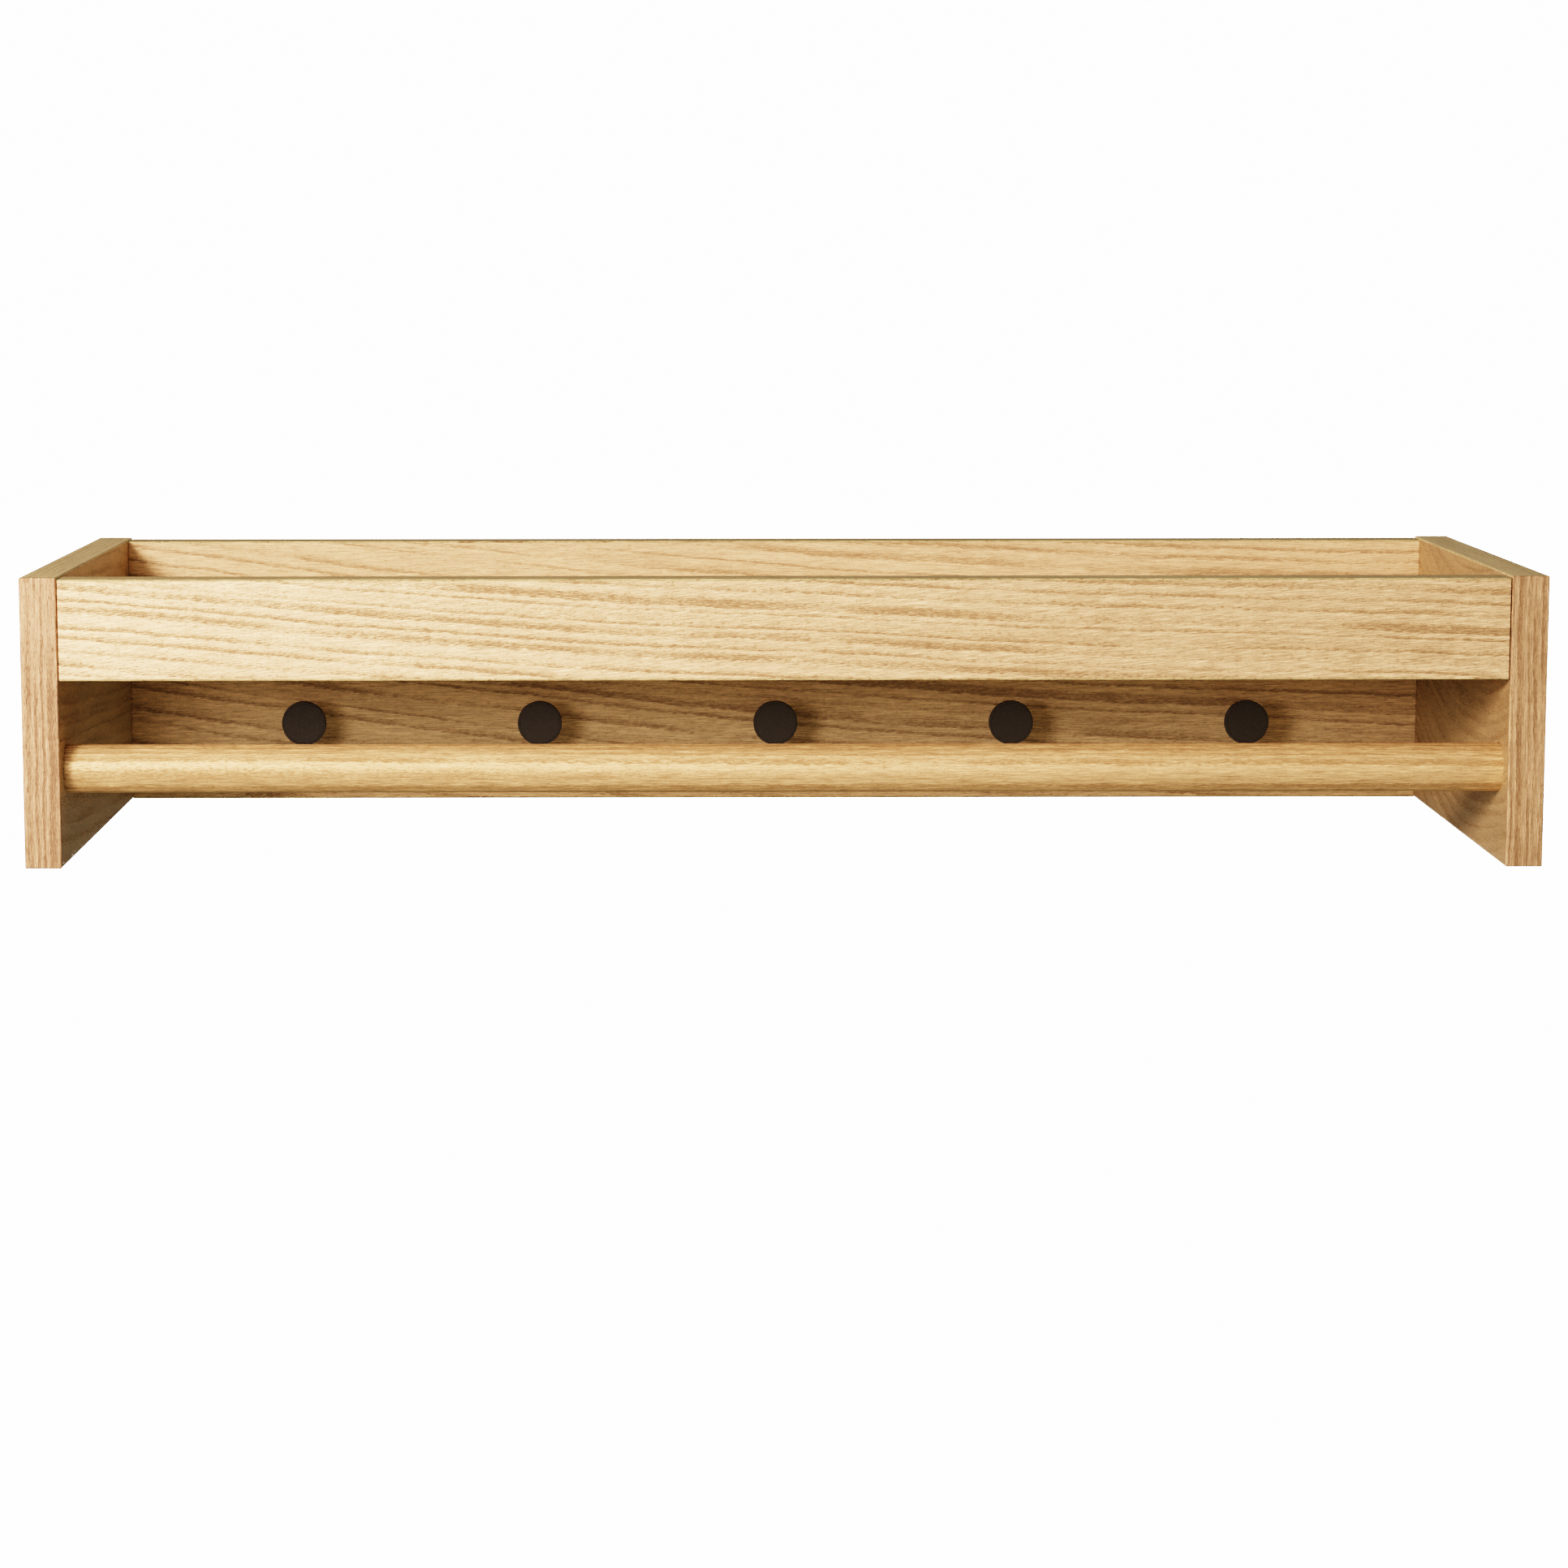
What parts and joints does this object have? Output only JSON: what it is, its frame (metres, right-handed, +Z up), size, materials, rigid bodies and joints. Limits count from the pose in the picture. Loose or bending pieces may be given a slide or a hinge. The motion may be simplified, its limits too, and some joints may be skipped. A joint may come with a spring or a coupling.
{
  "type": "wall hook rack",
  "caption": "Oak wall rack: an open tray shelf with a round hanger rail under its front board and a row of round metal knobs on its back board.",
  "frame": {"origin": "in the wall plane, at the mid-width and mid-height of the rack", "axes": "+X to the right as seen from the room, +Y towards the wall, +Z up"},
  "size_m": [0.78, 0.28, 0.15],
  "materials": {
    "oak_veneer": "matt lacquered oak veneer, satin",
    "oak_edge": "matt lacquered oak edge strip, satin",
    "oak_solid": "matt lacquered solid oak, satin",
    "dark_metal": "fine textured powder coat, matt, dark brown",
    "zinc_steel": "bright zinc plated",
    "beech": "bare beech dowel"
  },
  "bodies": {
    "root": {"back_board": "oak_veneer", "back_bottom_band": "oak_edge", "back_top_band": "oak_edge", "dowels_left_panel": "beech", "dowels_right_panel": "beech", "dowels_shelf_back": "beech", "dowels_shelf_front": "beech", "front_board": "oak_veneer", "front_bottom_band": "oak_edge", "front_top_band": "oak_edge", "hanger_plate_left": "zinc_steel", "hanger_plate_right": "zinc_steel", "hanger_screws": "zinc_steel", "knob_1": "dark_metal", "knob_2": "dark_metal", "knob_3": "dark_metal", "knob_4": "dark_metal", "knob_5": "dark_metal", "knob_screws": "zinc_steel", "rail": "oak_solid", "shelf_board": "oak_veneer", "side_left_back_band": "oak_edge", "side_left_bottom_band": "oak_edge", "side_left_front_band": "oak_edge", "side_left_top_band": "oak_edge", "side_panel_left": "oak_veneer", "side_panel_right": "oak_veneer", "side_right_back_band": "oak_edge", "side_right_bottom_band": "oak_edge", "side_right_front_band": "oak_edge", "side_right_top_band": "oak_edge"}
  },
  "joints": []
}
